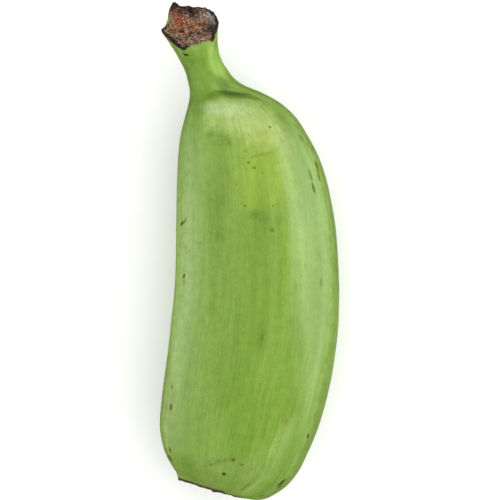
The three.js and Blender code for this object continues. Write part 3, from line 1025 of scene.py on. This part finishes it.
speck_place = peel.stretched(where, (1, 0.6, 1))
speck_sockets = {"Vector": speck_place, "Scale": SPECKS_PER_METRE}
speck_near = peel.node("ShaderNodeTexVoronoi", {}, speck_sockets, "Distance")
speck_luck = peel.node("ShaderNodeSeparateColor", {}, {
    "Color": peel.node("ShaderNodeTexVoronoi", {}, speck_sockets, "Color"),
})
specks = peel.fade(speck_near, 0.085, 0.045) * peel.fade(speck_luck, 0.70, 0.9)
worn = peel.fade(peel.carried("ridge"), 0.80, 0.97) * peel.fade(
    peel.noise(peel.stretched(grown, (9, 9, 3.5)), 1, 4, 0.7), 0.56, 0.7
)
spot_mask = marks_mask(peel, spots, SPOT_EDGE)
flecks = peel.noise(where, 1500, 3, 0.7)
freckled = peel.fade(peel.noise(where, 95, 2), 0.46, 0.62)
smudge_mask = marks_mask(peel, smudges, SMUDGE_EDGE) * peel.fade(flecks, 0.42, 0.56, 0.35, 1.0)

skin = peel.mix(worn * 0.35, green, colour(140, 140, 78))
skin = peel.mix(smudge_mask, skin, colour(96, 122, 32))
skin = peel.mix(peel.fade(flecks, 0.66, 0.74) * freckled * 0.45, skin, colour(104, 122, 36))
skin = peel.mix(specks * 0.7, skin, colour(104, 100, 20))
brown = peel.mix(peel.fade(spot_mask, 0.55, 1.0), colour(120, 132, 22), colour(74, 62, 8))
skin = peel.mix(spot_mask * 1.5, skin, brown)
print("specks every", round(1000 / SPECKS_PER_METRE, 1), "mm")

# %% [markdown]
# ## The dry ends
# Where the stalk tore, the flesh has dried to tan and dark brown strings, rust red in places
# and silver grey in others. The face is kept darker than the fibres on it, as painted shade in
# the gaps between them. A straight noise looks like stone here, so the strings are noise that
# more noise has curled. The points carry where the edge has dried black. The scar is dull
# brown cork.

# %% Colours of the dry ends
strings = peel.noise(where, 1100, 4, 0.7, 1.6)
clots = peel.noise(where, 900, 3, 0.65)
grit = peel.noise(where, 1900, 3, 0.7)
# The dark strings and the dark clots are partly dried flesh and partly painted shade in the gaps
# between the fibres.
flesh = peel.mix(peel.fade(strings, 0.4, 0.6), colour(44, 26, 20), colour(162, 110, 80))
flesh = peel.mix(peel.fade(grit, 0.52, 0.6), flesh, colour(232, 186, 146))
flesh = peel.mix(peel.fade(clots, 0.52, 0.6) * 0.9, flesh, colour(40, 24, 20))
rust = peel.mix(peel.fade(strings, 0.38, 0.62), colour(112, 44, 30), colour(196, 108, 76))
flesh = peel.mix(peel.carried("rust"), flesh, rust)
silver = peel.mix(peel.fade(strings, 0.42, 0.58), colour(86, 80, 74), colour(194, 184, 166))
flesh = peel.mix(peel.carried("silver"), flesh, silver)
flesh = peel.mix(peel.carried("dark") * 1.1, flesh, colour(40, 32, 34))
cork_colour = peel.mix(peel.fade(clots, 0.4, 0.62), colour(54, 42, 34), colour(112, 88, 64))
print(len(peel.tree.nodes), "nodes")

# %% The peel's shader
WAXY = 0.24  # the roughness of clean peel
RELIEF = 0.12 * MM

torn = peel.fade(peel.carried("torn") + (clots - 0.5) * 0.5, 0.42, 0.6)
black = peel.fade(peel.carried("edge") + (clots - 0.5) * 0.9, 0.5, 0.85)
cork = peel.fade(peel.carried("cork") + (clots - 0.5) * 0.9, 0.4, 0.62)
skin = peel.mix(torn, skin, flesh)
black_colour = peel.mix(peel.fade(grit, 0.45, 0.7), colour(26, 22, 20), colour(84, 72, 60))
skin = peel.mix(black, skin, black_colour)
skin = peel.mix(cork, skin, cork_colour)

dry = (torn + black + cork).maths("MINIMUM", torn + black + cork, 1.0)
roughness = WAXY + (broad - 0.5) * 0.08 + (fine - 0.5) * 0.12
roughness = roughness + spot_mask * 0.5 + dry * 0.5 + (1 - thick) * 0.4
relief = ((strands - 0.5) * 0.6 + (fine - 0.5) * 0.35) * thick
relief = relief + spot_mask * -0.25 + dry * (strings * 2)
peel.dress(fruit, {
    "Base Color": skin, "Roughness": roughness, "Specular IOR Level": 0.35,
    "Normal": peel.bump(relief, RELIEF, 0.8),
})

# %% [markdown]
# ## The fibres' finish
# Torn fibres are dull, and light or dark by their clump. An image wrapped round each would
# never be seen, so the tone and tints that the points carry do the colouring.

# %% Material of the fibres
fibre = Finish(bpy.data.materials.new("dry_stalk_fibre"))
tone = fibre.carried("tone")
straw = fibre.mix(fibre.fade(tone, 0.36, 0.64), colour(66, 38, 28), colour(255, 222, 182))
straw = fibre.mix(fibre.carried("rust") * 0.75, straw, colour(190, 96, 60))
silvered = fibre.carried("silver") * 0.9
silver_fibre = fibre.mix(tone, colour(86, 84, 90), colour(206, 200, 192))
straw = fibre.mix(silvered, straw, silver_fibre)
straw = fibre.mix(fibre.carried("dark") * 0.85, straw, colour(48, 38, 38))
hairs = fibre.noise(fibre.place(), 5000, 2)
fibre.dress(fibres, {
    "Base Color": straw, "Roughness": 0.75 + (hairs - 0.5) * 0.3,
    "Normal": fibre.bump(hairs, 0.1 * MM, 0.6),
})

# %% [markdown]
# ## Table and light
# A plain pale table and the soft light of a studio. A big sheet of light overhead and the
# white room give the green its even brightness, and softboxes that only reflect make it shine: a
# high and a wide one at the right, a low and a faint one at the left, and one past the stalk. The
# overhead sheet is kept out of reflections, where it would wash out the green, and so is the
# table, which keeps the edges dark as black cards would. That is also why the low softbox may
# reach below the table's level.

# %% Table
TABLE_WHITE = 0.96
TABLE_HALF = 4  # metres

table_top = bmesh.new()
bmesh.ops.create_grid(table_top, x_segments=1, y_segments=1, size=TABLE_HALF)
table = placed("table", table_top)
table.visible_glossy = False
table_finish = Finish(bpy.data.materials.new("pale_table"))
table_finish.dress(table, {"Base Color": (*[TABLE_WHITE] * 3, 1), "Roughness": 0.9})

# %% Softboxes
AIM = Vector((0, 0, 0.02))
SOFTBOXES = {
    # place, size, brightness, and whether it is only reflected or only lights
    "right_high": ((0.44, 0.16, 0.405), (0.14, 0.58), 3, True),
    "right_wide": ((0.52, 0.16, 0.24), (0.5, 0.92), 3.2, True),
    "left_low": ((-0.7, -0.05, -0.07), (0.4, 0.85), 1.35, True),
    "left_soft": ((-0.66, -0.05, 0.08), (0.4, 0.75), 0.8, True),
    "past_stalk": ((0, 0.6, 0.34), (0.4, 0.7), 1.5, True),
    "right_fill": ((0.65, 0.1, 0.5), (0.5, 0.8), 1.4, False),
    "overhead": ((0, 0, 1.3), (1.6, 1.6), 0.9, False),
}

for name, (place, (wide, long), brightness, reflected) in SOFTBOXES.items():
    light = bpy.data.lights.new(name, "AREA")
    light.shape = "ELLIPSE" if reflected else "RECTANGLE"
    light.size, light.size_y = wide, long
    light.energy = brightness * math.pi * wide * long * (math.pi / 4 if reflected else 1)
    lamp = placed(name, light)
    lamp.location = place
    aimed = (Vector(place) - AIM).normalized()
    sideways = Vector((0, 1, 0)).cross(aimed)
    if abs(place[1]) > abs(place[0]):
        sideways = Vector((1, 0, 0))
    turned = Matrix((sideways.normalized(), aimed.cross(sideways).normalized(), aimed))
    lamp.rotation_euler = turned.transposed().to_euler()
    lamp.visible_camera = False
    lamp.visible_diffuse, lamp.visible_glossy = not reflected, reflected

print(len(SOFTBOXES), "softboxes")

# %% The white room
ROOM_LIGHT = 0.95
ROOM_FOOT = 0.1  # the slope up to which the light fades in

scene.world = bpy.data.worlds.new("studio")
room = Finish(scene.world, "Background")
direction = room.node("ShaderNodeTexCoord", output="Generated")
slope = room.node("ShaderNodeSeparateXYZ", {}, {"Vector": direction}, "Z")
above = room.node("ShaderNodeMapRange", {}, {
    "Value": slope, "From Max": ROOM_FOOT, "To Max": ROOM_LIGHT,
})
room.dress(None, {"Color": (1, 1, 1, 1), "Strength": above})
scene.view_settings.view_transform = "Standard"
print("room light", ROOM_LIGHT)
